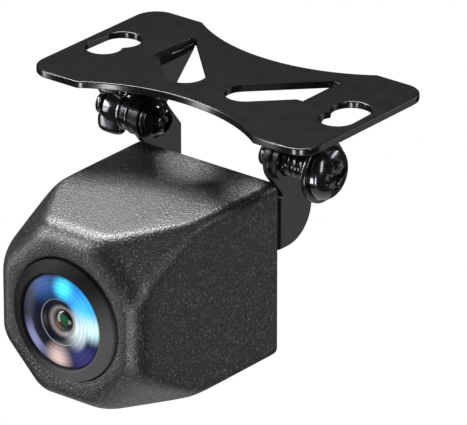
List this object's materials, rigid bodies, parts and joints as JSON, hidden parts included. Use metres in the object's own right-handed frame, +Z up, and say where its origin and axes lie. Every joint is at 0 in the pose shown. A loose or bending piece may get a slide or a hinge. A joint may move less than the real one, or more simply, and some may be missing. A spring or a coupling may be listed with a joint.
{
  "type": "backup camera",
  "caption": "Compact cube-shaped backup camera with a wide-angle lens, on a tilting U-bracket under a bow-tie mounting plate.",
  "frame": {"origin": "centre of the mounting plate's top face", "axes": "+Z up, out of the plate's top face; the lens looks along -Y; X along the tilt axis"},
  "size_m": [0.0488, 0.051, 0.0368],
  "materials": {
    "plate_paint": "satin",
    "bracket_paint": "satin",
    "fastener_black": "gloss",
    "housing_texture": "textured",
    "seal_rubber": "matte",
    "small_steel": "satin",
    "inlet_brass": "satin",
    "bezel_black": "satin",
    "lens_glass": "gloss",
    "filter_glass": "gloss",
    "barrel_alloy": "matte",
    "holder_plastic": "matte",
    "board_green": "satin",
    "chip_black": "matte",
    "connector_white": "matte",
    "coil_grey": "matte"
  },
  "bodies": {
    "plate": {"mounting_plate": "plate_paint", "left_screw": "fastener_black", "left_inner_washer": "fastener_black"},
    "camera": {"u_bracket": "bracket_paint", "front_housing": "housing_texture", "rear_cover": "housing_texture", "rear_gasket": "seal_rubber", "cover_screws": "small_steel", "web_screws": "small_steel", "board_screws": "small_steel", "cable_inlet": "seal_rubber", "inlet_nut": "inlet_brass", "lens_bezel": "bezel_black", "front_lens": "lens_glass", "lens_barrel": "barrel_alloy", "lens_seal": "seal_rubber", "rear_lens": "lens_glass", "middle_lens": "lens_glass", "second_lens": "lens_glass", "lens_retaining_ring": "barrel_alloy", "rear_spacer": "barrel_alloy", "middle_spacer": "barrel_alloy", "front_spacer": "barrel_alloy", "sensor_board": "board_green", "main_board": "board_green", "lens_holder": "holder_plastic", "image_sensor": "chip_black", "infrared_filter": "filter_glass", "video_processor": "chip_black", "board_header": "connector_white", "cable_socket": "connector_white", "power_coil": "coil_grey", "board_spacers": "small_steel"},
    "left_clamp": {"left_outer_washer": "fastener_black", "left_spring_washer": "fastener_black"},
    "wing_nut": {"wing_nut": "fastener_black"},
    "right_clamp": {"right_washer": "fastener_black"},
    "right_screw": {"right_screw": "fastener_black"}
  },
  "joints": [
    {"name": "tilt", "type": "hinge", "parent": "plate", "child": "camera", "pos_m": [0, -0.00285, -0.0078], "axis": [1, 0, 0], "range_deg": [-45, 80]},
    {"name": "left_clamp_travel", "type": "slide", "parent": "plate", "child": "left_clamp", "axis": [-1, 0, 0], "range_m": [0, 0.003]},
    {"name": "wing_nut_turn", "type": "hinge", "parent": "left_clamp", "child": "wing_nut", "pos_m": [-0.016, -0.00285, -0.0078], "axis": [-1, 0, 0], "range_deg": [0, 985]},
    {"name": "right_clamp_travel", "type": "slide", "parent": "plate", "child": "right_clamp", "axis": [-1, 0, 0], "range_m": [0, 0.0053]},
    {"name": "right_screw_turn", "type": "hinge", "parent": "right_clamp", "child": "right_screw", "pos_m": [0.019, -0.00285, -0.0078], "axis": [-1, 0, 0], "range_deg": [0, 1740]}
  ],
  "couplings": [
    {"joint": "wing_nut_turn", "follows": "left_clamp_travel", "rad_per_m": 5712},
    {"joint": "right_screw_turn", "follows": "right_clamp_travel", "rad_per_m": 5712}
  ]
}
